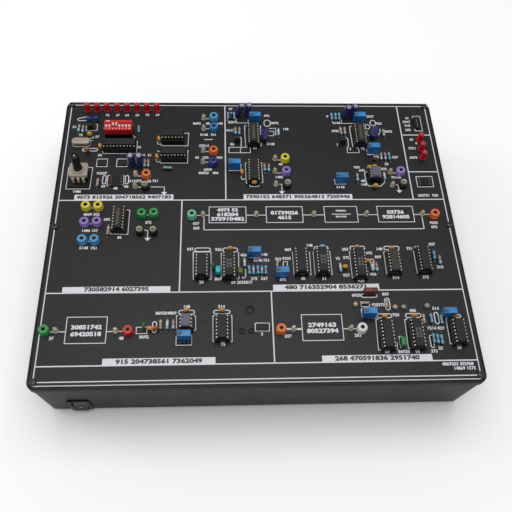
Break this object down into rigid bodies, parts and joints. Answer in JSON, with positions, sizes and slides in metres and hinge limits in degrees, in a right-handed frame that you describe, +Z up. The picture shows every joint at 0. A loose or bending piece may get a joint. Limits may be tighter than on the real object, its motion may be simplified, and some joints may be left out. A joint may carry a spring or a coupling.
{
  "type": "digital communication trainer",
  "caption": "Flat bench box whose top panel carries chips, colour-coded patch sockets, trimmers, lamps, a slide switch and a knob, with a rocker switch in front.",
  "frame": {"origin": "under the middle of the box, on the surface its feet stand on", "axes": "+X to the right along the longer side, +Y to the back, +Z up; the rocker switch is in front at -Y"},
  "size_m": [0.297, 0.2416, 0.08],
  "materials": {
    "case_plastic": "fine moulded grain, black",
    "foot_rubber": "matt black",
    "inlet_black": "satin black",
    "panel_black": "satin black solder mask with white print",
    "pot_black": "satin black",
    "pot_ivory": "satin ivory",
    "rocker_black": "gloss black",
    "screw_brass": "turned brass",
    "screw_steel": "dull steel, darkened",
    "slide_red": "satin red",
    "slider_white": "satin white",
    "socket_amber": "glossy moulded plastic",
    "socket_blue": "glossy moulded plastic",
    "socket_green": "glossy moulded plastic",
    "socket_lilac": "glossy moulded plastic",
    "socket_mint": "glossy moulded plastic",
    "socket_navy": "glossy moulded plastic",
    "socket_orange": "glossy moulded plastic",
    "socket_red": "glossy moulded plastic",
    "socket_sky": "glossy moulded plastic",
    "socket_violet": "glossy moulded plastic",
    "socket_white": "glossy moulded plastic",
    "socket_yellow": "glossy moulded plastic",
    "supply_board": "green solder mask",
    "switch_black": "satin black"
  },
  "bodies": {
    "trainer": {"carrier_socket_lilac": "socket_lilac", "carrier_socket_violet": "socket_violet", "carrier_socket_yellow": "socket_yellow", "case_base": "case_plastic", "case_rim": "case_plastic", "circuit_panel": "panel_black", "data_socket_amber": "socket_amber", "data_socket_blue": "socket_blue", "data_socket_navy": "socket_navy", "data_socket_orange": "socket_orange", "data_socket_sky": "socket_sky", "envelope_socket_green": "socket_green", "envelope_socket_red": "socket_red", "foot_back_left": "foot_rubber", "foot_back_right": "foot_rubber", "foot_front_left": "foot_rubber", "foot_front_right": "foot_rubber", "modulator_socket_green_1": "socket_green", "modulator_socket_green_2": "socket_green", "modulator_socket_sky_1": "socket_sky", "modulator_socket_sky_2": "socket_sky", "modulator_socket_violet_1": "socket_violet", "modulator_socket_violet_2": "socket_violet", "modulator_socket_yellow_1": "socket_yellow", "modulator_socket_yellow_2": "socket_yellow", "panel_screw_back_left": "screw_steel", "panel_screw_back_right": "screw_steel", "panel_screw_front_left": "screw_steel", "panel_screw_front_right": "screw_steel", "panel_screw_middle_left": "screw_steel", "panel_screw_middle_right": "screw_steel", "pot_body": "pot_ivory", "power_inlet": "inlet_black", "power_supply": "supply_board", "product_socket_orange": "socket_orange", "product_socket_white": "socket_white", "recovery_socket_mint": "socket_mint", "recovery_socket_orange": "socket_orange", "slide_switch_body": "slide_red", "switch_housing": "switch_black"},
    "rocker": {"switch_rocker": "rocker_black"},
    "shaft": {"pot_shaft": "pot_black"},
    "slide_1": {"slider_1": "slider_white"},
    "slide_2": {"slider_2": "slider_white"},
    "slide_3": {"slider_3": "slider_white"},
    "slide_4": {"slider_4": "slider_white"},
    "slide_5": {"slider_5": "slider_white"},
    "slide_6": {"slider_6": "slider_white"},
    "slide_7": {"slider_7": "slider_white"},
    "slide_8": {"slider_8": "slider_white"},
    "adjuster_1": {"trimmer_screw_1": "screw_brass"},
    "adjuster_2": {"trimmer_screw_2": "screw_brass"},
    "adjuster_3": {"trimmer_screw_3": "screw_brass"},
    "adjuster_4": {"trimmer_screw_4": "screw_brass"},
    "adjuster_5": {"trimmer_screw_5": "screw_brass"},
    "adjuster_6": {"trimmer_screw_6": "screw_brass"},
    "adjuster_7": {"trimmer_screw_7": "screw_brass"},
    "adjuster_8": {"trimmer_screw_8": "screw_brass"},
    "adjuster_9": {"trimmer_screw_9": "screw_brass"},
    "adjuster_10": {"trimmer_screw_10": "screw_brass"}
  },
  "joints": [
    {"name": "rocker_pivot", "type": "hinge", "parent": "trainer", "child": "rocker", "pos_m": [-0.1219, -0.11581, 0.01513], "axis": [1, 0, 0], "range_deg": [0, 22]},
    {"name": "shaft_turn", "type": "hinge", "parent": "trainer", "child": "shaft", "pos_m": [-0.13052, 0.04571, 0.0654], "axis": [0, 0, 1], "range_deg": [-150, 150]},
    {"name": "slider_1_travel", "type": "slide", "parent": "trainer", "child": "slide_1", "axis": [0, 1, 0], "range_m": [0, 0.0018]},
    {"name": "slider_2_travel", "type": "slide", "parent": "trainer", "child": "slide_2", "axis": [0, 1, 0], "range_m": [0, 0.0018]},
    {"name": "slider_3_travel", "type": "slide", "parent": "trainer", "child": "slide_3", "axis": [0, 1, 0], "range_m": [-0.0018, 0]},
    {"name": "slider_4_travel", "type": "slide", "parent": "trainer", "child": "slide_4", "axis": [0, 1, 0], "range_m": [-0.0018, 0]},
    {"name": "slider_5_travel", "type": "slide", "parent": "trainer", "child": "slide_5", "axis": [0, 1, 0], "range_m": [0, 0.0018]},
    {"name": "slider_6_travel", "type": "slide", "parent": "trainer", "child": "slide_6", "axis": [0, 1, 0], "range_m": [0, 0.0018]},
    {"name": "slider_7_travel", "type": "slide", "parent": "trainer", "child": "slide_7", "axis": [0, 1, 0], "range_m": [0, 0.0018]},
    {"name": "slider_8_travel", "type": "slide", "parent": "trainer", "child": "slide_8", "axis": [0, 1, 0], "range_m": [0, 0.0018]},
    {"name": "adjuster_1_turn", "type": "hinge", "parent": "trainer", "child": "adjuster_1", "pos_m": [-0.00016, 0.10002, 0.0646], "axis": [0, 0, 1], "continuous": true},
    {"name": "adjuster_2_turn", "type": "hinge", "parent": "trainer", "child": "adjuster_2", "pos_m": [-0.01701, 0.05303, 0.0646], "axis": [0, 0, 1], "continuous": true},
    {"name": "adjuster_3_turn", "type": "hinge", "parent": "trainer", "child": "adjuster_3", "pos_m": [0.08422, 0.10025, 0.0646], "axis": [0, 0, 1], "continuous": true},
    {"name": "adjuster_4_turn", "type": "hinge", "parent": "trainer", "child": "adjuster_4", "pos_m": [0.092, 0.06862, 0.0646], "axis": [0, 0, 1], "continuous": true},
    {"name": "adjuster_5_turn", "type": "hinge", "parent": "trainer", "child": "adjuster_5", "pos_m": [0.06406, 0.03977, 0.0646], "axis": [0, 0, 1], "continuous": true},
    {"name": "adjuster_6_turn", "type": "hinge", "parent": "trainer", "child": "adjuster_6", "pos_m": [-0.00434, -0.02454, 0.0646], "axis": [0, 0, 1], "continuous": true},
    {"name": "adjuster_7_turn", "type": "hinge", "parent": "trainer", "child": "adjuster_7", "pos_m": [0.01467, -0.04094, 0.0646], "axis": [0, 0, 1], "continuous": true},
    {"name": "adjuster_8_turn", "type": "hinge", "parent": "trainer", "child": "adjuster_8", "pos_m": [-0.05229, -0.08734, 0.0646], "axis": [0, 0, 1], "continuous": true},
    {"name": "adjuster_9_turn", "type": "hinge", "parent": "trainer", "child": "adjuster_9", "pos_m": [0.07212, -0.0728, 0.0646], "axis": [0, 0, 1], "continuous": true},
    {"name": "adjuster_10_turn", "type": "hinge", "parent": "trainer", "child": "adjuster_10", "pos_m": [0.12627, -0.07339, 0.0646], "axis": [0, 0, 1], "continuous": true}
  ]
}
